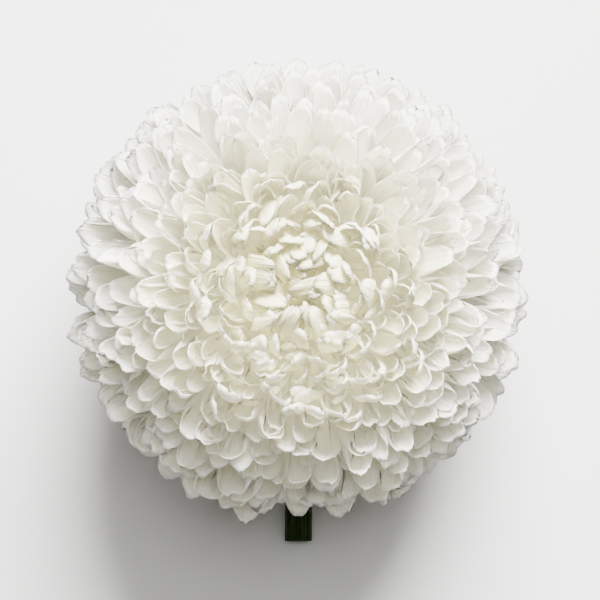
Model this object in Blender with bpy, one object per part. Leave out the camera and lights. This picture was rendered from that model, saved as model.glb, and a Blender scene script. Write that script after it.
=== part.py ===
"""A cut disbud chrysanthemum, laid on its back with its face straight up.

The bloom is a ball of ray florets that grow in whorls from a domed receptacle. The stem
leaves the receptacle at the back, bends at the neck and runs down along -Y to its cut
end, which rests on the surface. Metres, +Z up, and the surface is at z = 0. The origin
is on the surface, below the middle of the whole flower.
"""

import math

import bpy
import numpy as np

# Driving dimensions of the bloom: its tips lie on a ball, which the surface flattens
HEAD_RADIUS = 0.0585
HEAD_HEIGHT = 0.0510
EYE_ANGLE = 9.0
BACK_ANGLE = 174.0

# Driving dimensions of the stem, whose cut end lies this far from the bloom's axis
STEM_RADIUS = 0.00345
NECK_RADIUS = 0.0044
NECK_LENGTH = 0.0085
STEM_REACH = 0.0670
STEM_SLOPE = math.radians(14.0)
STEM_RIBS = 8
RIB_DEPTH = 0.0003

# The receptacle's half width, its height above and below that, and its place
RECEPTACLE_RADIUS = 0.0105
RECEPTACLE_RISE = 0.0080
RECEPTACLE_DROP = 0.0055
RECEPTACLE_BELOW_CENTRE = 0.0170

# Clearance between pieces that touch, and between a floret's middle and the stem's
GAP = 0.0003
STEM_CLEARANCE = NECK_RADIUS + 0.0016

# How a floret's width and the step between whorls grow from the eye to the back
SPAN_ANGLES = [8.0, 38.0, 80.0, 150.0]
FLORET_WIDTHS = [0.0046, 0.0070, 0.0093, 0.0104]
WHORL_STEPS = [0.0052, 0.0076, 0.0097, 0.0112]
LEAST_IN_WHORL = 10  # in the last whorl, whose florets crowd round the neck

# Where along its length a floret has its belly and its shoulder, the part of the room
# beside its neighbours that it fills there, and its hollow and thickness as parts of
# the step between whorls
BELLY = 0.50
SHOULDER = 0.88
FILL = 0.90
HOLLOWS = [0.14, 0.26, 0.20]
THICKNESS = 0.11

# How far above the surface the back's middle lines end, because their tips curl
TIP_LIFT = 0.0014

# The thin ring that joins a whorl's crowded bases: its height, and the part of the room
# between whorls that it fills on the receptacle
RING_HEIGHT = 0.0010
RING_FILL = 0.24
LAST_SEAT = 124.0

# The bracts: how many in a row, their size, and each row's seat, direction and length
BRACTS_IN_ROW = 13
BRACT_WIDTHS = [0.0030, 0.0021]
BRACT_HOLLOWS = [0.0004, 0.0003, 0.0]
BRACT_THICKNESS = 0.0006
BRACT_RING_HEIGHT = 0.0008
BRACT_RING_SPAN = math.radians(3.5)
BRACT_ROWS = {
    "bracts_outer": (math.radians(134.0), math.radians(165.0), 0.0100),
    "bracts_inner": (math.radians(145.0), math.radians(170.0), 0.0080),
}

# The heart of folded young florets: its tip below the ball, its flutes, and its radius
# at each part of its height
HEART_SINK = 0.0025
HEART_FLUTES = 8
HEART_PROFILE = [(1.0, 0.0), (0.97, 0.0036), (0.85, 0.0040), (0.5, 0.0017), (0.02, 0.0012), (0.0, 0.0)]

# Places that follow from the dimensions above
HEAD_Y = (STEM_REACH - HEAD_RADIUS) / 2
SEAT_Z = HEAD_HEIGHT - RECEPTACLE_BELOW_CENTRE
NECK_Z = SEAT_Z - RECEPTACLE_DROP - GAP

PETAL_WHITE = (0.86, 0.85, 0.78, 1.0)
HEART_CREAM = (0.80, 0.79, 0.62, 1.0)
STEM_GREEN = (0.020, 0.035, 0.010, 1.0)
BRACT_GREEN = (0.080, 0.130, 0.040, 1.0)
SEAT_GREEN = (0.30, 0.36, 0.16, 1.0)


def clear_scene():
    """Remove whatever the file holds at the start."""
    for thing in list(bpy.data.objects):
        bpy.data.objects.remove(thing, do_unlink=True)


def make_material(name, colour, roughness):
    """A plain Principled material with one colour and one roughness."""
    material = bpy.data.materials.new(name)
    material.use_nodes = True
    shader = material.node_tree.nodes["Principled BSDF"]
    shader.inputs["Base Color"].default_value = colour
    shader.inputs["Roughness"].default_value = roughness
    shader.inputs["Metallic"].default_value = 0.0
    return material


def add_object(name, points, faces, material):
    """One named object, whose points are measured from the surface below the bloom."""
    mesh = bpy.data.meshes.new(name)
    mesh.from_pydata([tuple(p) for p in points], [], faces)
    mesh.materials.append(material)
    thing = bpy.data.objects.new(name, mesh)
    thing.location = (0.0, HEAD_Y, 0.0)
    bpy.context.collection.objects.link(thing)
    return thing


def stem_path(steps):
    """The stem's middle line as (y, z), on one curve from the neck to the cut end."""
    end_z = STEM_RADIUS / math.cos(STEM_SLOPE)
    bend_y = -0.25 * STEM_REACH
    bend_z = end_z + (STEM_REACH + bend_y) * math.tan(STEM_SLOPE)
    neck = np.array([0.0, NECK_Z])
    below = neck - np.array([0.0, NECK_LENGTH])
    bend = np.array([bend_y, bend_z])
    end = np.array([-STEM_REACH, end_z])
    s = np.linspace(0.0, 1.0, steps)[:, None]
    t = 1 - s
    return t**3 * neck + 3 * t**2 * s * below + 3 * t * s**2 * bend + s**3 * end


def build_stem(material):
    """A ribbed tube swept along the stem's path, swollen at the neck.

    Its cut end is upright, a little aslant to the stem, so that it shows square from
    above and its lower edge rests on the surface.
    """
    rings, sides = 18, 4 * STEM_RIBS
    path = stem_path(rings)
    turn = np.linspace(0.0, 2 * math.pi, sides, endpoint=False)
    ribs = (np.cos(STEM_RIBS * turn) - 1) / 2 * RIB_DEPTH
    points = []
    for i, (y, z) in enumerate(path):
        along = path[min(i + 1, rings - 1)] - path[max(i - 1, 0)]
        along /= np.linalg.norm(along)
        up = np.array([-along[1], along[0]])
        swell = (NECK_RADIUS - STEM_RADIUS) * (1 - i / (rings - 1)) ** 6
        radius = STEM_RADIUS + swell + ribs
        rise = (radius * np.sin(turn))[:, None]
        offset = rise * up
        if i == rings - 1:
            offset = offset - rise * up[0] / along[0] * along
        points += [(x, y + dy, z + dz) for x, (dy, dz) in zip(radius * np.cos(turn), offset)]
    last = (rings - 1) * sides
    faces = [list(range(sides)), list(range(last + sides - 1, last - 1, -1))]
    for i in range(0, last, sides):
        for j in range(sides):
            k = (j + 1) % sides
            faces.append([i + j, i + sides + j, i + sides + k, i + k])
    return add_object("stem", points, faces, material)


def seat_point(beta, proud=0.0):
    """A point on the receptacle, or proud of it, as (distance from the axis, z)."""
    rise = RECEPTACLE_RISE if beta < math.pi / 2 else RECEPTACLE_DROP
    radius = (RECEPTACLE_RADIUS + proud) * math.sin(beta)
    return np.array([radius, SEAT_Z + (rise + proud) * math.cos(beta)])


def build_turned(name, profile, flutes, depth, material):
    """A solid turned about the bloom's axis from a profile that runs from pole to pole.

    The profile is (distance from the axis, z), top first. Flutes swell and sink its
    radius by a part, depth, as many times round as there are flutes.
    """
    sides = 32
    turn = [2 * math.pi * j / sides for j in range(sides)]
    points = [(0.0, 0.0, profile[0][1]), (0.0, 0.0, profile[-1][1])]
    for radius, z in profile[1:-1]:
        for a in turn:
            r = radius * (1 + depth * math.cos(flutes * a))
            points.append((r * math.cos(a), r * math.sin(a), z))
    faces = []
    lowest = len(points) - sides
    for j in range(sides):
        k = (j + 1) % sides
        faces.append([0, 2 + j, 2 + k])
        faces.append([1, lowest + k, lowest + j])
        for i in range(2, lowest, sides):
            faces.append([i + j, i + sides + j, i + sides + k, i + k])
    return add_object(name, points, faces, material)


def build_receptacle(material):
    """The domed seat of the florets, rounder above than below."""
    profile = [seat_point(beta) for beta in np.linspace(0.0, math.pi, 13)]
    return build_turned("receptacle", profile, 0, 0.0, material)


def build_heart(material):
    """The folded youngest florets at the eye: a fluted bud that widens to its top."""
    foot = SEAT_Z + RECEPTACLE_RISE + GAP
    height = HEAD_HEIGHT + HEAD_RADIUS - HEART_SINK - foot
    profile = [(radius, foot + part * height) for part, radius in HEART_PROFILE]
    return build_turned("florets_heart", profile, HEART_FLUTES, 0.10, material)


def whorl_angles():
    """The angle of each whorl's tips from the axis, from the eye to the back."""
    angles = [EYE_ANGLE]
    step = 0.0
    while angles[-1] < BACK_ANGLE - step / 2:
        step = math.degrees(np.interp(angles[-1], SPAN_ANGLES, WHORL_STEPS) / HEAD_RADIUS)
        angles.append(angles[-1] + step)
    fit = (BACK_ANGLE - EYE_ANGLE) / (angles[-1] - EYE_ANGLE)
    return [EYE_ANGLE + fit * (angle - EYE_ANGLE) for angle in angles]


def seat_angle(theta):
    """Where on the receptacle a floret grows whose tip is at this angle from the axis."""
    return LAST_SEAT * (theta / BACK_ANGLE) ** 0.8


def floret_count(theta):
    """How many florets of their own width stand side by side in a whorl."""
    width = np.interp(theta, SPAN_ANGLES, FLORET_WIDTHS)
    around = 2 * math.pi * HEAD_RADIUS * math.sin(math.radians(theta))
    return max(round(around / width), LEAST_IN_WHORL)


def floret_line(theta):
    """A floret's middle line as a function of 0 to 1, from its seat to its tip.

    It leaves the receptacle between the seat's direction and the tip's and bends
    outward, so that the whorls of the back reflex. A tip that would go below the
    surface ends just above it.
    """
    beta = math.radians(seat_angle(theta))
    angle = math.radians(theta)
    base = seat_point(beta, GAP + RING_HEIGHT)
    reach = min(HEAD_RADIUS, (HEAD_HEIGHT - TIP_LIFT) / max(-math.cos(angle), 0.1))
    tip = np.array([reach * math.sin(angle), HEAD_HEIGHT + reach * math.cos(angle)])
    leave = 0.6 * beta + 0.4 * angle
    half = 0.5 * np.linalg.norm(tip - base)
    bend = base + half * np.array([math.sin(leave), math.cos(leave)])

    def at(s):
        return (1 - s) ** 2 * base + 2 * s * (1 - s) * bend + s**2 * tip

    return at


def stem_is_near(line, azimuth, width):
    """Whether a floret at this azimuth would run into the stem."""
    path = stem_path(60)
    for s in np.linspace(0.05, 1.0, 20):
        rho, z = line(s)
        for side in (-width / 2, 0.0, width / 2):
            x = rho * math.cos(azimuth) - side * math.sin(azimuth)
            y = rho * math.sin(azimuth) + side * math.cos(azimuth)
            away = np.sqrt(x * x + (path[:, 0] - y) ** 2 + (path[:, 1] - z) ** 2).min()
            if away < STEM_CLEARANCE:
                return True
    return False


def blade_sections(line, azimuth, widths, hollows, thickness):
    """A blade's two four-cornered sections and its tip: left, face, right, back.

    The edges rise above the middle by the hollow, on the side that faces the axis.
    """
    out = np.array([math.cos(azimuth), math.sin(azimuth), 0.0])
    side = np.array([-math.sin(azimuth), math.cos(azimuth), 0.0])
    up = np.array([0.0, 0.0, 1.0])
    points = []
    for s, width, hollow in zip((BELLY, SHOULDER, 1.0), [*widths, 0.0], hollows):
        rho, z = line(s)
        ahead = line(s) - line(s - 0.02)
        ahead /= np.linalg.norm(ahead)
        face = ahead[0] * up - ahead[1] * out
        middle = rho * out + z * up
        if width == 0.0:
            points.append(middle + face * hollow)
            continue
        points.append(middle - side * width / 2 + face * hollow)
        points.append(middle + face * thickness / 2)
        points.append(middle + side * width / 2 + face * hollow)
        points.append(middle - face * thickness / 2)
    return points


def build_whorl(name, line, count, widths, hollows, thickness, ring, start, material):
    """A whorl of bracts or florets that share a thin ring at their crowded bases.

    line is the middle line of each. widths holds its width at the belly and the
    shoulder, and hollows its hollow there and at the tip, which curls up into a spoon.
    ring holds the corners of the ring's section: inner, upper and lower. A place that
    the stem takes up stays empty.
    """
    points, faces = [], []
    for j in range(count):
        edge = start + 2 * math.pi * (j - 0.5) / count
        points += [(r * math.cos(edge), r * math.sin(edge), z) for r, z in ring]
    for j in range(count):
        inner, upper, lower = (3 * j + corner for corner in range(3))
        inner_b, upper_b, lower_b = (3 * ((j + 1) % count) + corner for corner in range(3))
        faces += [[inner, upper, upper_b, inner_b], [inner, inner_b, lower_b, lower]]
        azimuth = start + 2 * math.pi * j / count
        if stem_is_near(line, azimuth, max(widths)):
            faces.append([upper, lower, lower_b, upper_b])
            continue
        left = len(points)
        face, right, back, tip = left + 1, left + 2, left + 3, left + 8
        points += blade_sections(line, azimuth, widths, hollows, thickness)
        faces += [[upper, left, face], [upper, face, upper_b], [upper_b, face, right]]
        faces += [[upper_b, right, lower_b], [lower_b, right, back], [lower_b, back, lower]]
        faces += [[lower, back, left], [lower, left, upper]]
        for m in range(4):
            n = (m + 1) % 4
            faces.append([left + m, left + 4 + m, left + 4 + n, left + n])
            faces.append([left + 4 + m, tip, left + 4 + n])
    return add_object(name, points, faces, material)


def ring_section(beta, half_span, height):
    """The three corners of a ring on the receptacle: inner, upper and lower."""
    return [
        seat_point(beta, GAP),
        seat_point(beta - half_span, GAP + height),
        seat_point(beta + half_span, GAP + height),
    ]


def build_florets(material):
    """The whorls of ray florets, each turned half a floret from the one before."""
    for k, theta in enumerate(whorl_angles()):
        count = floret_count(theta)
        step = np.interp(theta, SPAN_ANGLES, WHORL_STEPS)
        spread = math.degrees(step / HEAD_RADIUS)
        room = math.radians(seat_angle(theta) - seat_angle(theta - spread))
        line = floret_line(theta)
        build_whorl(
            f"florets_whorl_{k + 1:02d}",
            line,
            count,
            [FILL * 2 * math.pi * line(s)[0] / count for s in (BELLY, SHOULDER)],
            [part * step for part in HOLLOWS],
            THICKNESS * step,
            ring_section(math.radians(seat_angle(theta)), RING_FILL * room, RING_HEIGHT),
            math.pi / 2 + (k % 2) * math.pi / count,
            material,
        )


def build_bracts(material):
    """Rows of pointed green bracts under the receptacle, inside the last florets."""
    for row, (name, (beta, heading, length)) in enumerate(BRACT_ROWS.items()):
        base = seat_point(beta, GAP + BRACT_RING_HEIGHT)
        run = length * np.array([math.sin(heading), math.cos(heading)])

        def line(s, base=base, run=run):
            return base + s * run

        build_whorl(
            name,
            line,
            BRACTS_IN_ROW,
            BRACT_WIDTHS,
            BRACT_HOLLOWS,
            BRACT_THICKNESS,
            ring_section(beta, BRACT_RING_SPAN, BRACT_RING_HEIGHT),
            math.pi / 2 + row * math.pi / BRACTS_IN_ROW,
            material,
        )


def main():
    clear_scene()
    build_stem(make_material("stem green", STEM_GREEN, 0.6))
    build_receptacle(make_material("seat green", SEAT_GREEN, 0.7))
    build_heart(make_material("heart cream", HEART_CREAM, 0.55))
    build_florets(make_material("petal white", PETAL_WHITE, 0.55))
    build_bracts(make_material("bract green", BRACT_GREEN, 0.6))


main()
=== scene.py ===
"""Looks of a cut disbud chrysanthemum that lies on its back, face up, seen from above.

The ray florets are cupped, rolled and hooked blades. Each one is a grid over two
parameters, s along it from 0 at its base to 1 at its tip, and t across it from -1 to 1.
They grow a golden angle apart, on the polar angles of the CAD model's whorls. Metres,
+Z up; the surface is at z = 0 and the bloom's axis stands at x = 0, y = HEAD_Y.
"""

import math

import bpy
import mathutils
import numpy as np
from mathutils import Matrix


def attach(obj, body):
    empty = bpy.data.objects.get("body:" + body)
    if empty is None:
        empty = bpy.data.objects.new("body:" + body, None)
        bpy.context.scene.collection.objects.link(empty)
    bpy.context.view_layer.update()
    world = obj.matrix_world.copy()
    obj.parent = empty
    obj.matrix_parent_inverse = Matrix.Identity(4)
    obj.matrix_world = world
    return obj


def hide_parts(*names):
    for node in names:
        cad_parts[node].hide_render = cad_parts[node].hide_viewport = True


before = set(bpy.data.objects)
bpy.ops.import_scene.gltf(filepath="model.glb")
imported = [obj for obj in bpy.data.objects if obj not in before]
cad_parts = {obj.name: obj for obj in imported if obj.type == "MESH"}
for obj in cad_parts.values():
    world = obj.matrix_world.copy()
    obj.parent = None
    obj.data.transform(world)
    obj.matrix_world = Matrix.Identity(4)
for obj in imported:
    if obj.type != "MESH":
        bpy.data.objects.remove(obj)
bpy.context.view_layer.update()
rng = np.random.default_rng(1887)

# The CAD model's driving dimensions of the bloom, its receptacle and its stem
HEAD_RADIUS = 0.0585
HEAD_HEIGHT = 0.0510
EYE_ANGLE = 9.0
BACK_ANGLE = 174.0
STEM_RADIUS = 0.00345
NECK_RADIUS = 0.0044
NECK_LENGTH = 0.0085
STEM_REACH = 0.0670
STEM_SLOPE = math.radians(14.0)
RECEPTACLE_RADIUS = 0.0105
RECEPTACLE_RISE = 0.0080
RECEPTACLE_DROP = 0.0055
RECEPTACLE_BELOW_CENTRE = 0.0170
LAST_SEAT = 124.0
SPAN_ANGLES = [8.0, 38.0, 80.0, 150.0]
FLORET_WIDTHS = [0.0046, 0.0070, 0.0093, 0.0104]
WHORL_STEPS = [0.0052, 0.0076, 0.0097, 0.0112]
LEAST_IN_WHORL = 10
BRACTS_IN_ROW = 13
BRACT_ROWS = {"bracts_outer": (134.0, 165.0, 0.0100), "bracts_inner": (145.0, 170.0, 0.0080)}

# Places that follow from them
HEAD_Y = (STEM_REACH - HEAD_RADIUS) / 2
SEAT_Z = HEAD_HEIGHT - RECEPTACLE_BELOW_CENTRE
NECK_Z = SEAT_Z - RECEPTACLE_DROP

# Rows and columns of a floret's grid, closer together toward its tip and its margins
ALONG = np.array([0.0, 0.50, 0.72, 0.82, 0.88, 0.925, 0.965, 1.0])
SIDEWAYS = np.linspace(-1, 1, 11)
ACROSS = np.sign(SIDEWAYS) * np.abs(SIDEWAYS) ** 0.8

# How a floret's breadth, as a part of its greatest, and its roll change along it
BREADTH_AT = [0.0, 0.30, 0.50, 0.65, 0.80, 0.90, 1.0]
BREADTH = [0.24, 0.36, 0.60, 0.84, 1.0, 0.95, 0.66]
ROLL_AT = [0.0, 0.74, 0.90, 1.0]
MOST_ROLL = 7.2
ROLL_POWER = 1.6
HOOK_FROM = 0.86
HOOK_POWER = 1.3

# What changes with a floret's polar angle: the angle of its end from the axis, how far
# its tip hooks back, its roll at the shoulder, and the breadth of its flattened limb as
# a part of its share of the whorl
TURN_ANGLES = [0.0, 6.0, 12.0, 20.0, 30.0, 45.0, 60.0, 75.0, 90.0, 120.0, 150.0, 174.0]
END_ANGLES = [-24.0, -20.0, -6.0, 11.0, 27.0, 47.0, 66.0, 81.0, 94.0, 124.0, 154.0, 172.0]
HOOKS = [1.2, 1.1, 1.0, 0.9, 0.85, 0.9, 0.95, 0.9, 0.8, 0.6, 0.35, 0.2]
ROLLS = [2.4, 2.4, 2.8, 3.6, 4.6, 5.3, 5.4, 5.0, 4.2, 3.4, 2.8, 2.4]
SPREADS = [1.9, 1.9, 1.9, 1.88, 1.85, 1.8, 1.76, 1.74, 1.74, 1.66, 1.5, 1.4]
TWIST_ANGLES = [0.0, 15.0, 40.0]
TWISTS = [1.8, 1.3, 1.0]
POLAR_LIMITS = (0.5, 176.0)
FLORET_THICKNESS = 0.00030

# How widely florets scatter: their polar angle and the angle of their end in degrees,
# their azimuth as a part of their spacing, and their reach as a part of the radius
POLAR_SCATTER = 1.4
END_SCATTER = 9.0
AZIMUTH_SCATTER = 0.18
REACH_SCATTER = 0.014

# A floret's middle line: where it is seated, how it leaves its seat, and its handles
PROUD_OF_SEAT = 0.0004
SEAT_POWER = 0.8
LEAVE_SEAT = 0.65
LEAVE_TIP = 0.35
CURVE_ALLOWANCE = 1.08
BASE_HANDLE = 0.42
TIP_HANDLE = 0.40
EYE_DEPTH = 0.03
EYE_WIDTH = 10.0

# Behind the bloom the florets part, by these degrees, to leave room for the stem
PART_ANGLES = [112.0, 125.0, 150.0, 168.0]
PARTED_BY = [0.0, 12.0, 16.0, 26.0]

# One broad, even, two-ridged floret hides the top of the stem from above, and those
# within a few degrees of the stem are a little shorter than it
OVER_STEM_ANGLE = 84.0
OVER_STEM_REACH = 1.0
OVER_STEM_ROLL = 1.6
OVER_STEM_HOOK = 0.3
OVER_STEM_BREADTH = 0.0060
OVER_STEM_RIDGE = 0.0005
BESIDE_STEM = 0.14
BESIDE_STEM_SHORTER = 0.05

# The florets that face the light lie flatter and are less rolled than those opposite,
# from near the eye outward, and in full from these polar angles on
LEAN_TO_LIGHT = 6.0
OPEN_TO_LIGHT = 0.46
LIGHT_FROM = 5.0
FULL_FACING = 55.0
FULL_OPPOSITE = 30.0

# Close to the surface the florets flatten over about this height
FLATTEN_HEIGHT = 0.0006

# Bracts and the stem's ribs and cut end
BRACT_EDGE = 0.0002
BRACT_BREADTH = 0.0017
BRACT_ROLL = 1.5
BRACT_THICKNESS = 0.0005
RIB_DEPTH = 0.00042
FINE_RIB_DEPTH = 0.00008
CUT_RINGS = (0.93, 0.8, 0.5, 0.2)
CUT_PITH = (0.0, 0.15, 0.35, 0.75, 1.0)

# A real whorl is more crowded than the CAD model's, and one floret in three is short
HEART_COUNT = 24
CROWDED_ANGLES = [20.0, 45.0, 90.0]
CROWDING = [2.3, 1.95, 1.5]
SHORT_ANGLES = [10.0, 60.0, 90.0]
SHORT_PARTS = [0.90, 0.94, 1.0]


def arc(bend, length, power):
    """How far ahead and aside a strip gets that bends as it runs.

    After a length x its direction has turned by bend times x to the power, so it gets
    ahead by the integral of the cosine of that, and aside by that of its sine.
    """
    parts = (np.arange(8) + 0.5) / 8
    x = np.abs(length)[..., None] * parts
    turned = np.asarray(bend)[..., None] * x**power
    ahead = length * np.cos(turned).mean(axis=-1)
    aside = np.abs(length) * np.sin(turned).mean(axis=-1)
    return ahead, aside


def smoothstep(low, high, x):
    """0 below low, 1 above high, and 3x^2 - 2x^3 of the part between."""
    part = np.clip((x - low) / (high - low), 0, 1)
    return part * part * (3 - 2 * part)


def seat_point(beta, proud):
    """Points proud of the receptacle, as (distance from the axis, z)."""
    rise = np.where(beta < math.pi / 2, RECEPTACLE_RISE, RECEPTACLE_DROP)
    radius = (RECEPTACLE_RADIUS + proud) * np.sin(beta)
    return np.stack([radius, SEAT_Z + (rise + proud) * np.cos(beta)], axis=-1)


def whorl_angles():
    """The angle of each whorl's tips from the axis, as in the CAD model."""
    angles = [EYE_ANGLE]
    step = 0.0
    while angles[-1] < BACK_ANGLE - step / 2:
        step = math.degrees(np.interp(angles[-1], SPAN_ANGLES, WHORL_STEPS) / HEAD_RADIUS)
        angles.append(angles[-1] + step)
    fit = (BACK_ANGLE - EYE_ANGLE) / (angles[-1] - EYE_ANGLE)
    return [EYE_ANGLE + fit * (angle - EYE_ANGLE) for angle in angles]


def floret_count(theta):
    """How many florets of their own width stand side by side in a whorl."""
    width = np.interp(theta, SPAN_ANGLES, FLORET_WIDTHS)
    around = 2 * math.pi * HEAD_RADIUS * math.sin(math.radians(theta))
    return max(round(around / width), LEAST_IN_WHORL)


def heading(angle):
    """The direction at an angle from the axis, as (away from the axis, z)."""
    return np.stack([np.sin(angle), np.cos(angle)], axis=-1)


def closed_faces(rows, columns):
    """Faces of a thin closed blade: a front grid, and a back one that shares its rim."""
    front = np.arange(rows * columns).reshape(rows, columns)
    back = front.copy()
    inner = (rows - 2) * (columns - 2)
    back[1:-1, 1:-1] = rows * columns + np.arange(inner).reshape(rows - 2, columns - 2)
    corners = (np.s_[:-1, :-1], np.s_[1:, :-1], np.s_[1:, 1:], np.s_[:-1, 1:])
    forward = np.stack([front[c] for c in corners], axis=-1).reshape(-1, 4)
    reverse = np.stack([back[c] for c in corners[::-1]], axis=-1).reshape(-1, 4)
    return np.concatenate([forward, reverse])


def close_blades(surface, thickness):
    """A skin each side of every blade's middle surface, half the thickness from it.

    The step is along the cross product of the grid's two directions, and is none at the
    rim, where the two skins meet.
    """
    normal = np.cross(np.gradient(surface, axis=1), np.gradient(surface, axis=2))
    normal /= np.linalg.norm(normal, axis=-1, keepdims=True) + 1e-12
    inside = np.s_[:, 1:-1, 1:-1]
    front = surface.copy()
    front[inside] += normal[inside] * thickness / 2
    back = surface[inside] - normal[inside] * thickness / 2
    count = len(surface)
    return np.concatenate([front.reshape(count, -1, 3), back.reshape(count, -1, 3)], axis=1)


def add_piece(name, points, faces, uv, values, material, nodes):
    """A smooth mesh piece with a UV map and point attributes, in place of CAD nodes."""
    mesh = bpy.data.meshes.new(name)
    mesh.from_pydata(points, [], faces)
    mesh.polygons.foreach_set("use_smooth", np.ones(len(mesh.polygons), bool))
    corners = np.empty(len(mesh.loops), np.int32)
    mesh.loops.foreach_get("vertex_index", corners)
    layer = mesh.uv_layers.new(name="petal_map")
    layer.data.foreach_set("uv", uv[corners].astype(np.float32).ravel())
    for label, numbers in values.items():
        attribute = mesh.attributes.new(label, "FLOAT", "POINT")
        attribute.data.foreach_set("value", np.asarray(numbers, np.float32))
    mesh.materials.append(material)
    mesh.update()
    piece = bpy.data.objects.new(name, mesh)
    bpy.context.collection.objects.link(piece)
    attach(piece, "root")
    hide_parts(*nodes)


def blade_uv(along, across):
    """A blade's map, t across and s along, for its front and then the back's inside."""
    s, t = np.meshgrid(along, (across + 1) / 2, indexing="ij")
    grid = np.stack([t, s], axis=-1)
    return np.concatenate([grid.reshape(-1, 2), grid[1:-1, 1:-1].reshape(-1, 2)])


def add_blades(name, points, along, across, values, material, nodes):
    """A piece of several closed blades, with one value of each kind for every blade."""
    count, size = points.shape[:2]
    shift = np.arange(count)[:, None, None] * size
    add_piece(
        name,
        points.reshape(-1, 3),
        (closed_faces(len(along), len(across)) + shift).reshape(-1, 4),
        np.tile(blade_uv(along, across), (count, 1)),
        {label: np.repeat(numbers, size) for label, numbers in values.items()},
        material,
        nodes,
    )


def relief(s, t, shape):
    """How far a blade's face stands up or down from its smooth form.

    Its margins wave along it, its face has cross folds, and lengthwise it has ridges at
    its middle and at two thirds of its breadth, with a groove each side of the middle.
    """
    turn = 2 * math.pi
    wave = shape["wave"] * np.sin(turn * (4.0 * s + shape["phase"] + 0.3 * t)) * t * t
    crumple = shape["crumple"] * np.sin(turn * (5.5 * s + 3 * shape["phase"]) + 2.5 * t)
    ridge = shape["ridge"] * np.cos(3 * math.pi * t) * (1 - t * t)
    return (wave + crumple + ridge) * smoothstep(0.4, 0.8, s)


def blade_surface(line, azimuth, along, across, breadth, roll, shape):
    """Middle surfaces of blades, as an array of blade, row, column and coordinate.

    line holds four control points of each blade's middle line, a cubic in the plane
    through the axis at its azimuth. Across it the blade is a strip of half breadth
    that rolls up toward the axis by half its roll at each margin, one margin more than
    the other where it is uneven. Near the tip the line hooks back by shape's hook. The
    tip's outline is a flattened half ellipse with a notch: the margins fall back from
    it by shape's drop times 1 - sqrt(1 - 0.96 t^2). The blade also twists by its twist
    and leans aside by its sweep, both with the square of the part along it. Last, z
    becomes (z + sqrt(z^2 + c^2)) / 2, so that no point is below the surface.
    """
    s = along[None, :, None]
    t = across[None, None, :]
    notch = shape["notch"] * np.exp(-((t / 0.25) ** 2))
    fall = 1 - np.sqrt(1 - 0.96 * t * t) + shape["skew"] * t + notch
    u = s - shape["drop"] * fall * smoothstep(0.55, 1.0, s)
    p0, p1, p2, p3 = (p[:, None, None, :] for p in line)
    v = u[..., None]
    w = 1 - v
    point = w**3 * p0 + 3 * w**2 * v * p1 + 3 * w * v**2 * p2 + v**3 * p3
    ahead = 3 * (w**2 * (p1 - p0) + 2 * w * v * (p2 - p1) + v**2 * (p3 - p2))
    ahead /= np.linalg.norm(ahead, axis=-1, keepdims=True)

    out = np.stack([np.cos(azimuth), np.sin(azimuth), 0 * azimuth], axis=-1)[:, None, None]
    side = np.stack([-np.sin(azimuth), np.cos(azimuth), 0 * azimuth], axis=-1)[:, None, None]
    up = np.array([0.0, 0.0, 1.0])
    middle = point[..., :1] * out + point[..., 1:] * up
    forth = ahead[..., :1] * out + ahead[..., 1:] * up
    face = ahead[..., :1] * up - ahead[..., 1:] * out

    tail = (1 - HOOK_FROM) * shape["length"][..., None]
    part = np.clip((u - HOOK_FROM) / (1 - HOOK_FROM), 0, 1)
    hook = np.broadcast_to(shape["hook"], part.shape)
    run, lift = arc(hook, part, HOOK_POWER)
    turned = (hook * part**HOOK_POWER)[..., None]
    middle = middle + tail * ((run - part)[..., None] * forth + lift[..., None] * face)
    face = np.cos(turned) * face - np.sin(turned) * forth

    margin_roll = roll / 2 * (1 + shape["uneven"] * t)
    lateral, rise = arc(margin_roll, np.broadcast_to(t, roll.shape), ROLL_POWER)
    lateral = (lateral * breadth)[..., None]
    rise = (rise * breadth + relief(s, t, shape))[..., None]
    twist = (shape["twist"] * u * u)[..., None]
    across_way = np.cos(twist) * side + np.sin(twist) * face
    face_way = np.cos(twist) * face - np.sin(twist) * side
    surface = middle + lateral * across_way + rise * face_way
    surface = surface + (shape["sweep"] * u * u)[..., None] * side
    surface[..., 1] += HEAD_Y
    z = surface[..., 2]
    surface[..., 2] = (z + np.sqrt(z**2 + FLATTEN_HEIGHT**2)) / 2
    return surface


def floret_places():
    """Polar angle, azimuth and whorl of each floret; whorl 0 is the heart.

    The n-th floret's azimuth is n golden angles. Its polar angle goes up with n as the
    whorls' angles do, so that each whorl's florets lie on both sides of its angle.
    """
    angles = whorl_angles()
    crowding = np.interp(angles, CROWDED_ANGLES, CROWDING)
    counts = [round(more * floret_count(angle)) for more, angle in zip(crowding, angles)]
    counts = [HEART_COUNT, *counts]
    before = np.cumsum([0] + counts)
    middles = before[:-1] + np.array(counts) / 2
    known = np.concatenate([[0.0], middles, [before[-1]]])
    polar = np.interp(np.arange(before[-1]) + 0.5, known, [1.5, 5.0, *angles, BACK_ANGLE])
    azimuth = np.arange(before[-1]) * math.pi * (3 - math.sqrt(5))
    whorl = np.repeat(np.arange(len(counts)), counts)
    return polar, azimuth, whorl


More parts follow.
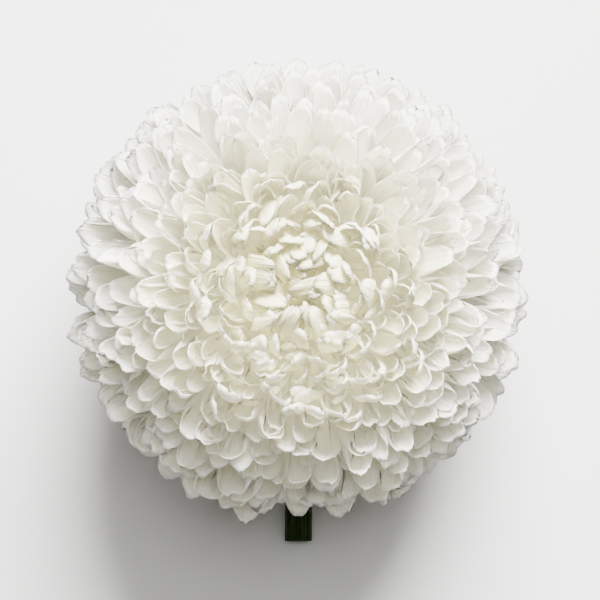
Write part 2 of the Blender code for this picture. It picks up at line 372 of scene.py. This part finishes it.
def make_florets(materials):
    """Every floret of the bloom, in one piece for each whorl of the CAD model."""
    polar, azimuth, whorl = floret_places()
    count = len(polar)
    spacing = np.interp(polar, SPAN_ANGLES, FLORET_WIDTHS)
    ring = np.maximum(HEAD_RADIUS * np.sin(np.radians(polar)), 0.004)
    polar = polar + rng.normal(0, POLAR_SCATTER, count)
    azimuth = azimuth + rng.normal(0, AZIMUTH_SCATTER, count) * spacing / ring
    from_stem = (azimuth + math.pi / 2 + math.pi) % (2 * math.pi) - math.pi
    parted = np.radians(np.interp(polar, PART_ANGLES, PARTED_BY))
    azimuth = azimuth + np.sign(from_stem) * parted * (1 - np.abs(from_stem) / math.pi)
    over_stem = np.argmin(np.abs(from_stem) + np.radians(np.abs(polar - OVER_STEM_ANGLE)))
    azimuth[over_stem] = -math.pi / 2
    polar[over_stem] = OVER_STEM_ANGLE

    within = np.clip(polar, *POLAR_LIMITS)
    angle = np.radians(within)
    seat = np.radians(LAST_SEAT * (within / BACK_ANGLE) ** SEAT_POWER)
    facing = np.sin(azimuth)
    full = np.where(facing > 0, FULL_FACING, FULL_OPPOSITE)
    lit = facing * smoothstep(LIGHT_FROM, full, polar)
    end = np.interp(polar, TURN_ANGLES, END_ANGLES) + LEAN_TO_LIGHT * lit
    end = np.radians(end + rng.normal(0, END_SCATTER, count))
    closed = 1 - OPEN_TO_LIGHT * lit
    hook = np.interp(polar, TURN_ANGLES, HOOKS) * closed * rng.uniform(0.5, 1.15, count)
    shoulder = np.interp(polar, TURN_ANGLES, ROLLS) * closed * rng.uniform(0.68, 1.08, count)
    hook[over_stem] = OVER_STEM_HOOK

    base = seat_point(seat, PROUD_OF_SEAT)
    dimple = 1 - EYE_DEPTH * np.exp(-((polar / EYE_WIDTH) ** 2))
    short = np.where(np.arange(count) % 3 == 2, np.interp(polar, SHORT_ANGLES, SHORT_PARTS), 1.0)
    far = HEAD_RADIUS * dimple * short * (1 + rng.normal(0, REACH_SCATTER, count))
    far = far * (1 - BESIDE_STEM_SHORTER * np.exp(-((from_stem / BESIDE_STEM) ** 2)))
    far[over_stem] = OVER_STEM_REACH * HEAD_RADIUS
    far = np.minimum(far, HEAD_HEIGHT / np.maximum(-np.cos(angle), 0.1))
    tip = np.array([0.0, HEAD_HEIGHT]) + far[:, None] * heading(angle)
    length = np.linalg.norm(tip - base, axis=-1) * CURVE_ALLOWANCE
    tail = (1 - HOOK_FROM) * length
    run, lift = arc(hook, np.ones(count), HOOK_POWER)
    forth = heading(end)
    face = np.stack([-forth[:, 1], forth[:, 0]], axis=-1)
    unhooked = -(tail * (run - 1))[:, None] * forth - (tail * lift)[:, None] * face
    unhooked[:, 0] *= smoothstep(6.0, 26.0, polar)
    tip = tip + unhooked
    leave = heading(LEAVE_SEAT * seat + LEAVE_TIP * angle)
    line = (
        base,
        base + BASE_HANDLE * length[:, None] * leave,
        tip - TIP_HANDLE * length[:, None] * forth,
        tip,
    )

    spread = np.interp(polar, TURN_ANGLES, SPREADS) * np.sqrt(closed)
    greatest = spread * spacing / 2 * rng.normal(1, 0.10, count)
    greatest[over_stem] = OVER_STEM_BREADTH
    share = np.interp(ALONG, BREADTH_AT, BREADTH)
    breadth = (greatest[:, None] * share)[..., None] * np.ones(len(ACROSS))
    shoulder = np.minimum(shoulder, MOST_ROLL)
    quill = np.minimum(1.15 * shoulder, MOST_ROLL)
    tip_roll = shoulder * rng.uniform(0.6, 1.0, count)
    rolls = np.stack([quill, quill, shoulder, tip_roll], axis=-1)
    roll = np.stack([np.interp(ALONG, ROLL_AT, each) for each in rolls])
    roll = roll[..., None] * np.ones(len(ACROSS))

    def column(values):
        return np.asarray(values)[:, None, None]

    shape = {
        "length": column(length),
        "hook": column(hook),
        "drop": column(1.1 * greatest / length),
        "skew": column(rng.normal(0, 0.14, count)),
        "notch": column(rng.uniform(-0.1, 0.2, count)),
        "uneven": column(rng.normal(0, 0.15, count)),
        "wave": column(rng.uniform(0.0, 0.0010, count)),
        "crumple": column(rng.uniform(0.0, 0.0004, count) * smoothstep(0.0, 25.0, polar)),
        "ridge": column(rng.uniform(-0.0002, 0.0004, count)),
        "phase": column(rng.uniform(0, 1, count)),
        "twist": column(rng.normal(0, 0.40, count) * np.interp(polar, TWIST_ANGLES, TWISTS)),
        "sweep": column(rng.normal(0, 0.0038, count)),
    }
    for key in ("skew", "notch", "uneven", "wave", "crumple", "twist", "sweep"):
        shape[key][over_stem] = 0.0
    shape["ridge"][over_stem] = OVER_STEM_RIDGE
    roll[over_stem] = OVER_STEM_ROLL
    surface = blade_surface(line, azimuth, ALONG, ACROSS, breadth, roll, shape)
    points = close_blades(surface, FLORET_THICKNESS)
    tint = rng.uniform(0, 1, count)
    # The polar angle over 90 goes to the petal material, for the creamy heart, the painted shade at
    # the rim and the painted glow
    for number in range(whorl[-1] + 1):
        chosen = whorl == number
        name = f"ray_florets_{number:02d}" if number else "heart_florets"
        node = f"florets_whorl_{number:02d}" if number else "florets_heart"
        add_blades(
            name,
            points[chosen],
            ALONG,
            ACROSS,
            {"floret_tint": tint[chosen], "floret_age_and_shade": polar[chosen] / 90},
            materials["petal"],
            [node],
        )


def make_bracts(materials):
    """The two rows of pointed green bracts below the receptacle, as small blades."""
    along = np.linspace(0, 1, 8)
    across = np.linspace(-1, 1, 5)
    for row, (node, (seat, down, length)) in enumerate(BRACT_ROWS.items()):
        seat, down = math.radians(seat), math.radians(down)
        azimuth = math.pi / 2 + 2 * math.pi * (np.arange(BRACTS_IN_ROW) + 0.5 * row) / BRACTS_IN_ROW
        count = BRACTS_IN_ROW
        base = np.tile(seat_point(np.array(seat), PROUD_OF_SEAT), (count, 1))
        run = length * heading(down + rng.normal(0, 0.06, count))
        line = (base, base + 0.3 * run, base + 0.7 * run, base + run)
        bulge = np.sin(math.pi * np.clip(along * 0.86 + 0.12, 0, 1)) ** 0.8
        share = BRACT_EDGE + BRACT_BREADTH * bulge
        breadth = np.ones((count, 1, 1)) * share[None, :, None] * np.ones(len(across))
        roll = np.full((count, len(along), len(across)), BRACT_ROLL)
        still = np.zeros((count, 1, 1))
        plain = ("skew", "notch", "uneven", "wave", "crumple", "ridge", "phase", "sweep", "drop")
        shape = {key: still for key in plain}
        shape["twist"] = rng.normal(0, 0.2, (count, 1, 1))
        shape["hook"] = rng.uniform(-0.5, 0.1, (count, 1, 1))
        shape["length"] = still + length
        surface = blade_surface(line, azimuth, along, across, breadth, roll, shape)
        add_blades(
            node.replace("bracts", "green_bracts"),
            close_blades(surface, BRACT_THICKNESS),
            along,
            across,
            {"floret_tint": rng.uniform(0, 1, count)},
            materials["bract"],
            [node],
        )


def stem_path(steps):
    """The stem's middle line as (y, z): the CAD model's cubic from neck to cut end."""
    end_z = STEM_RADIUS / math.cos(STEM_SLOPE)
    bend_y = -0.25 * STEM_REACH
    bend_z = end_z + (STEM_REACH + bend_y) * math.tan(STEM_SLOPE)
    neck = np.array([0.0, NECK_Z])
    below = neck - np.array([0.0, NECK_LENGTH])
    bend = np.array([bend_y, bend_z])
    end = np.array([-STEM_REACH, end_z])
    s = np.linspace(0.0, 1.0, steps)[:, None]
    t = 1 - s
    return t**3 * neck + 3 * t**2 * s * below + 3 * t * s**2 * bend + s**3 * end


def make_stem(materials):
    """The ribbed stem: rings along its path, then smaller rings over its cut end.

    A ring's radius is the stem's, less a groove of the rib depth times the sixth power
    of the cosine of four times the turn, which leaves eight broad ribs.
    """
    rings, sides = 56, 96
    path = stem_path(rings)
    ahead = np.gradient(path, axis=0)
    ahead /= np.linalg.norm(ahead, axis=-1, keepdims=True)
    turn = np.linspace(0, 2 * math.pi, sides, endpoint=False)
    groove = RIB_DEPTH * np.abs(np.cos(4 * turn)) ** 6 + FINE_RIB_DEPTH * np.cos(16 * turn)
    part = np.linspace(0, 1, rings)[:, None]
    swell = (NECK_RADIUS - STEM_RADIUS) * (1 - part) ** 6
    uneven = 0.00010 * np.sin(9 * part + 2 * turn) + 0.00006 * np.sin(23 * part + turn)
    radius = STEM_RADIUS + 0.0001 + swell - groove + uneven
    lift = radius * np.sin(turn)
    ring_y = path[:, :1] + ahead[:, 1:] * lift
    ring_z = path[:, 1:] - ahead[:, :1] * lift
    side = np.stack([radius * np.cos(turn), ring_y, ring_z], axis=-1)
    side[-1, :, 1] = path[-1, 0]
    side[-1, :, 2] = path[-1, 1] - lift[-1] / ahead[-1, 0]
    neck, end = (np.array([0.0, *path[i]]) for i in (0, -1))
    cut = [end + inward * (side[-1] - end) for inward in CUT_RINGS]
    rows = np.concatenate([[neck + 0.4 * (side[0] - neck)], side, cut])
    rows[..., 1] += HEAD_Y
    rows[..., 2] = np.maximum(rows[..., 2], 0.0)
    number = len(rows)
    index = np.arange(number * sides).reshape(number, sides)
    after = np.roll(index, -1, axis=1)
    faces = np.stack([index[:-1], after[:-1], after[1:], index[1:]], axis=-1).reshape(-1, 4)
    faces = [*faces.tolist(), index[-1].tolist(), index[0][::-1].tolist()]
    v = np.concatenate([[0], np.linspace(0, 1, rings), np.ones(len(CUT_RINGS))])
    u = np.arange(sides) / sides
    uv = np.stack(np.meshgrid(u, v), axis=-1).reshape(-1, 2)
    pith = np.concatenate([np.zeros(rings), CUT_PITH])
    add_piece(
        "flower_stem",
        rows.reshape(-1, 3),
        faces,
        uv,
        {"pith": np.repeat(pith, sides)},
        materials["stem"],
        ["stem"],
    )


class Sheet:
    """A material's node tree, with short ways to add and join nodes."""

    def __init__(self, name):
        self.material = bpy.data.materials.new(name)
        self.material.use_nodes = True
        self.tree = self.material.node_tree
        self.shader = self.tree.nodes["Principled BSDF"]

    def node(self, kind, inputs=(), **settings):
        made = self.tree.nodes.new(kind)
        for key, value in settings.items():
            setattr(made, key, value)
        for key, value in dict(inputs).items():
            if isinstance(value, bpy.types.NodeSocket):
                self.tree.links.new(value, made.inputs[key])
            else:
                made.inputs[key].default_value = value
        return made

    def set(self, **values):
        for key, value in values.items():
            self.shader.inputs[key.replace("_", " ")].default_value = value

    def feed(self, key, socket):
        self.tree.links.new(socket, self.shader.inputs[key])

    def feed_roughness(self, mask, least, most):
        inputs = {"Value": mask, "To Min": least, "To Max": most}
        self.feed("Roughness", self.node("ShaderNodeMapRange", inputs).outputs["Result"])

    def add_streaks(self, streaks, **values):
        """The piece's map, and the streak group fed by it and by the place."""
        petal_map = self.node("ShaderNodeUVMap", uv_map="petal_map").outputs["UV"]
        place = self.node("ShaderNodeTexCoord").outputs["Object"]
        inputs = {"Map": petal_map, "Place": place, **values}
        return petal_map, self.node("ShaderNodeGroup", inputs, node_tree=streaks)


def streak_group():
    """Fine streaks along a blade, from its own map, as a mask and a normal.

    The map is stretched so that noise varies many times across and little along. A
    finer even noise in object space adds the skin's cells.
    """
    group = bpy.data.node_groups.new("lengthwise streaks", "ShaderNodeTree")
    sockets = group.interface
    sockets.new_socket("Map", in_out="INPUT", socket_type="NodeSocketVector")
    sockets.new_socket("Place", in_out="INPUT", socket_type="NodeSocketVector")
    for label, value in (("Across", 14.0), ("Along", 1.6), ("Cells", 2600.0), ("Depth", 0.0006)):
        made = sockets.new_socket(label, in_out="INPUT", socket_type="NodeSocketFloat")
        made.default_value = value
    sockets.new_socket("Mask", in_out="OUTPUT", socket_type="NodeSocketFloat")
    sockets.new_socket("Normal", in_out="OUTPUT", socket_type="NodeSocketVector")
    nodes, links = group.nodes, group.links
    inside = nodes.new("NodeGroupInput")
    outside = nodes.new("NodeGroupOutput")
    stretch = nodes.new("ShaderNodeCombineXYZ")
    stretch.inputs["Z"].default_value = 1.0
    links.new(inside.outputs["Across"], stretch.inputs["X"])
    links.new(inside.outputs["Along"], stretch.inputs["Y"])
    scaled = nodes.new("ShaderNodeVectorMath")
    scaled.operation = "MULTIPLY"
    links.new(inside.outputs["Map"], scaled.inputs[0])
    links.new(stretch.outputs[0], scaled.inputs[1])
    streaks = nodes.new("ShaderNodeTexNoise")
    streaks.inputs["Scale"].default_value = 1.0
    streaks.inputs["Detail"].default_value = 2.0
    links.new(scaled.outputs[0], streaks.inputs["Vector"])
    cells = nodes.new("ShaderNodeTexNoise")
    cells.inputs["Detail"].default_value = 1.0
    links.new(inside.outputs["Place"], cells.inputs["Vector"])
    links.new(inside.outputs["Cells"], cells.inputs["Scale"])
    height = nodes.new("ShaderNodeMath")
    height.operation = "MULTIPLY_ADD"
    height.inputs[1].default_value = 0.25
    links.new(cells.outputs["Fac"], height.inputs[0])
    links.new(streaks.outputs["Fac"], height.inputs[2])
    bump = nodes.new("ShaderNodeBump")
    links.new(inside.outputs["Depth"], bump.inputs["Distance"])
    links.new(height.outputs[0], bump.inputs["Height"])
    links.new(streaks.outputs["Fac"], outside.inputs["Mask"])
    links.new(bump.outputs["Normal"], outside.inputs["Normal"])
    return group


def ramp(sheet, socket, stops):
    """A colour ramp from positions and colours."""
    made = sheet.node("ShaderNodeValToRGB", {"Fac": socket})
    band = made.color_ramp
    while len(band.elements) < len(stops):
        band.elements.new(0.5)
    for element, (place, colour) in zip(band.elements, stops):
        element.position = place
        element.color = (*colour, 1.0)
    return made.outputs["Color"]


def mix(sheet, kind, factor, first, second):
    """A colour mix node's result."""
    made = sheet.node("ShaderNodeMix", data_type="RGBA", blend_type=kind)
    for key, value in (("Factor", factor), ("A", first), ("B", second)):
        socket = next(s for s in made.inputs if s.name == key and s.enabled)
        if isinstance(value, bpy.types.NodeSocket):
            sheet.tree.links.new(value, socket)
        else:
            socket.default_value = value
    return next(s for s in made.outputs if s.enabled)


def petal_material(streaks):
    """Warm white petal: greener and creamier toward its base and in younger florets near the eye.
    Florets toward the bloom's rim are painted greyer and darker, as painted shade.

    A faint emission is a painted glow that stands for the light that reaches the crowded limbs
    through the thin florets round them. It fades toward the tips, the bases and the bloom's rim.
    """
    sheet = Sheet("petal")
    petal_map, fine = sheet.add_streaks(streaks)
    age_and_shade = sheet.node("ShaderNodeAttribute", attribute_name="floret_age_and_shade").outputs["Fac"]
    tint = sheet.node("ShaderNodeAttribute", attribute_name="floret_tint").outputs["Fac"]
    along = sheet.node("ShaderNodeSeparateXYZ", {"Vector": petal_map}).outputs["Y"]
    limb = ramp(
        sheet,
        along,
        [
            (0.0, (0.80, 0.80, 0.42)),
            (0.40, (0.91, 0.89, 0.62)),
            (0.70, (0.945, 0.93, 0.78)),
            (0.92, (0.96, 0.952, 0.88)),
        ],
    )
    # Creamier near the eye. Beyond about 54 degrees from the axis the florets are painted greyer and
    # darker, which is painted shade at the rim
    cream_and_rim_shade = ramp(
        sheet,
        age_and_shade,
        [
            (0.0, (1.0, 0.965, 0.58)),
            (0.25, (1.0, 0.98, 0.80)),
            (0.6, (0.99, 0.985, 0.95)),
            (0.8, (0.86, 0.86, 0.84)),
            (1.0, (0.76, 0.76, 0.75)),
        ],
    )
    colour = mix(sheet, "MULTIPLY", 1.0, limb, cream_and_rim_shade)
    own = ramp(sheet, tint, [(0.0, (0.955, 0.95, 0.93)), (1.0, (1.0, 1.0, 1.0))])
    colour = mix(sheet, "MULTIPLY", 1.0, colour, own)
    streaked = ramp(sheet, fine.outputs["Mask"], [(0.35, (0.93, 0.93, 0.90)), (0.6, (1.0, 1.0, 1.0))])
    colour = mix(sheet, "MULTIPLY", 1.0, colour, streaked)
    sheet.feed("Base Color", colour)
    sheet.feed_roughness(fine.outputs["Mask"], 0.50, 0.66)
    sheet.feed("Normal", fine.outputs["Normal"])
    # Painted glow: the emission colour along the floret, strongest a little below the tip
    through = ramp(
        sheet,
        along,
        [
            (0.30, (0.10, 0.093, 0.050)),
            (0.60, (0.28, 0.270, 0.205)),
            (0.74, (0.36, 0.350, 0.280)),
            (0.85, (0.18, 0.172, 0.127)),
            (1.00, (0.08, 0.075, 0.050)),
        ],
    )
    # How much painted glow each floret gets: most near the eye, almost none at the rim
    glow_share = ramp(
        sheet, age_and_shade, [(0.30, (1.0, 1.0, 1.0)), (0.75, (0.26, 0.26, 0.26)), (1.0, (0.03, 0.03, 0.03))]
    )
    sheet.feed("Emission Color", mix(sheet, "MULTIPLY", 1.0, through, glow_share))
    sheet.set(Emission_Strength=1.15)
    sheet.material.cycles.emission_sampling = "NONE"
    sheet.set(Specular_IOR_Level=0.30, Sheen_Weight=0.08, Sheen_Roughness=0.5)
    sheet.set(Subsurface_Weight=0.35, Subsurface_Scale=0.001)
    sheet.shader.inputs["Subsurface Radius"].default_value = (1.0, 0.95, 0.75)
    return sheet.material


def stem_material(streaks):
    """Dark green ribbed skin, with pale cortex and pith where the stem is cut."""
    sheet = Sheet("stem skin")
    pith = sheet.node("ShaderNodeAttribute", attribute_name="pith").outputs["Fac"]
    fine = sheet.add_streaks(streaks, Across=60.0, Along=5.0)[1]
    skin = ramp(
        sheet,
        fine.outputs["Mask"],
        [(0.3, (0.006, 0.014, 0.002)), (0.5, (0.014, 0.030, 0.006)), (0.72, (0.040, 0.065, 0.020))],
    )
    cut = ramp(
        sheet,
        pith,
        [(0.05, (0.05, 0.10, 0.02)), (0.25, (0.32, 0.42, 0.14)), (0.7, (0.66, 0.68, 0.46))],
    )
    where = sheet.node("ShaderNodeMapRange", {"Value": pith, "From Min": 0.02, "From Max": 0.14})
    sheet.feed("Base Color", mix(sheet, "MIX", where.outputs["Result"], skin, cut))
    sheet.feed_roughness(fine.outputs["Mask"], 0.42, 0.70)
    sheet.feed("Normal", fine.outputs["Normal"])
    sheet.set(Specular_IOR_Level=0.05)
    return sheet.material


def bract_material(streaks):
    """Green bract with a paler margin and streaks along it."""
    sheet = Sheet("bract")
    petal_map, fine = sheet.add_streaks(streaks, Across=18.0, Along=2.0)
    across = sheet.node("ShaderNodeSeparateXYZ", {"Vector": petal_map}).outputs["X"]
    side = sheet.node("ShaderNodeMath", {0: across, 1: 0.5}, operation="SUBTRACT")
    side = sheet.node("ShaderNodeMath", {0: side.outputs[0]}, operation="ABSOLUTE")
    margin = ramp(
        sheet,
        side.outputs[0],
        [(0.25, (0.10, 0.19, 0.045)), (0.42, (0.22, 0.30, 0.10)), (0.5, (0.42, 0.42, 0.24))],
    )
    streaked = ramp(sheet, fine.outputs["Mask"], [(0.35, (0.7, 0.72, 0.62)), (0.65, (1.0, 1.0, 1.0))])
    sheet.feed("Base Color", mix(sheet, "MULTIPLY", 1.0, margin, streaked))
    sheet.feed_roughness(fine.outputs["Mask"], 0.48, 0.7)
    sheet.feed("Normal", fine.outputs["Normal"])
    sheet.set(Specular_IOR_Level=0.35)
    return sheet.material


def receptacle_material():
    """Pale green, spongy seat with darker pits."""
    sheet = Sheet("receptacle")
    place = sheet.node("ShaderNodeTexCoord").outputs["Object"]
    pits = sheet.node("ShaderNodeTexNoise", {"Vector": place, "Scale": 900.0, "Detail": 3.0})
    colour = ramp(
        sheet, pits.outputs["Fac"], [(0.35, (0.20, 0.26, 0.09)), (0.6, (0.36, 0.42, 0.20))]
    )
    sheet.feed("Base Color", colour)
    bump = sheet.node("ShaderNodeBump", {"Height": pits.outputs["Fac"], "Distance": 0.0004})
    sheet.feed("Normal", bump.outputs["Normal"])
    sheet.feed_roughness(pits.outputs["Fac"], 0.6, 0.85)
    return sheet.material


def make_floor():
    """A large pale plane that the flower lies on."""
    half = 1.5
    mesh = bpy.data.meshes.new("floor")
    corners = [(-half, -half, 0.0), (half, -half, 0.0), (half, half, 0.0), (-half, half, 0.0)]
    mesh.from_pydata(corners, [], [(0, 1, 2, 3)])
    floor = bpy.data.objects.new("floor", mesh)
    bpy.context.collection.objects.link(floor)
    sheet = Sheet("floor")
    sheet.set(Base_Color=(0.76, 0.76, 0.76, 1.0), Roughness=0.9, Specular_IOR_Level=0.1)
    mesh.materials.append(sheet.material)


def add_lamp(name, place, size, energy):
    """A round soft lamp that faces the bloom."""
    lamp = bpy.data.lights.new(name, "AREA")
    lamp.shape = "DISK"
    lamp.size = size
    lamp.energy = energy
    lamp.color = (1.0, 0.985, 0.96)
    thing = bpy.data.objects.new(name, lamp)
    thing.location = place
    toward = mathutils.Vector((0.0, HEAD_Y, HEAD_HEIGHT)) - thing.location
    thing.rotation_euler = toward.to_track_quat("-Z", "Y").to_euler()
    bpy.context.collection.objects.link(thing)


def make_light():
    """A dim even world, a large key lamp from the photograph's top, and a fill above.

    The world gives little light, but is as pale as the floor where it is seen past it.
    """
    world = bpy.data.worlds.new("studio")
    bpy.context.scene.world = world
    world.use_nodes = True
    nodes, links = world.node_tree.nodes, world.node_tree.links
    background = nodes["Background"]
    background.inputs["Color"].default_value = (1.0, 1.0, 1.0, 1.0)
    background.inputs["Strength"].default_value = 0.08
    backdrop = nodes.new("ShaderNodeBackground")
    backdrop.inputs["Color"].default_value = (1.0, 1.0, 0.995, 1.0)
    backdrop.inputs["Strength"].default_value = 2.0
    choice = nodes.new("ShaderNodeMixShader")
    links.new(nodes.new("ShaderNodeLightPath").outputs["Is Camera Ray"], choice.inputs["Fac"])
    links.new(background.outputs["Background"], choice.inputs[1])
    links.new(backdrop.outputs["Background"], choice.inputs[2])
    links.new(choice.outputs["Shader"], nodes["World Output"].inputs["Surface"])
    add_lamp("key", (0.22, HEAD_Y + 1.0, HEAD_HEIGHT + 0.93), 0.9, 182.0)
    add_lamp("fill", (0.05, HEAD_Y + 0.35, HEAD_HEIGHT + 1.5), 0.9, 16.0)


def make_camera():
    """Straight down on the bloom, with the photograph's top toward +Y.

    The lens gives the photograph's 0.2556 mm a pixel at the middle of the bloom, from
    1.2 m above it, on a frame of 600 by 600.
    """
    distance, pixel, frame_pixels, sensor = 1.2, 0.0002556, 600, 36.0
    bloom_middle = (298.4, 288.0)
    camera = bpy.data.cameras.new("camera")
    camera.sensor_width = sensor
    camera.lens = sensor * distance / (pixel * frame_pixels)
    thing = bpy.data.objects.new("camera", camera)
    across = (frame_pixels / 2 - bloom_middle[0]) * pixel
    down = (frame_pixels / 2 - bloom_middle[1]) * pixel
    thing.location = (across, HEAD_Y - down, HEAD_HEIGHT + distance)
    bpy.context.collection.objects.link(thing)
    bpy.context.scene.camera = thing


make_camera()
make_light()
make_floor()
streaks = streak_group()
materials = {
    "petal": petal_material(streaks),
    "stem": stem_material(streaks),
    "bract": bract_material(streaks),
}
make_florets(materials)
make_bracts(materials)
make_stem(materials)
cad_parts["receptacle"].data.materials.clear()
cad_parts["receptacle"].data.materials.append(receptacle_material())
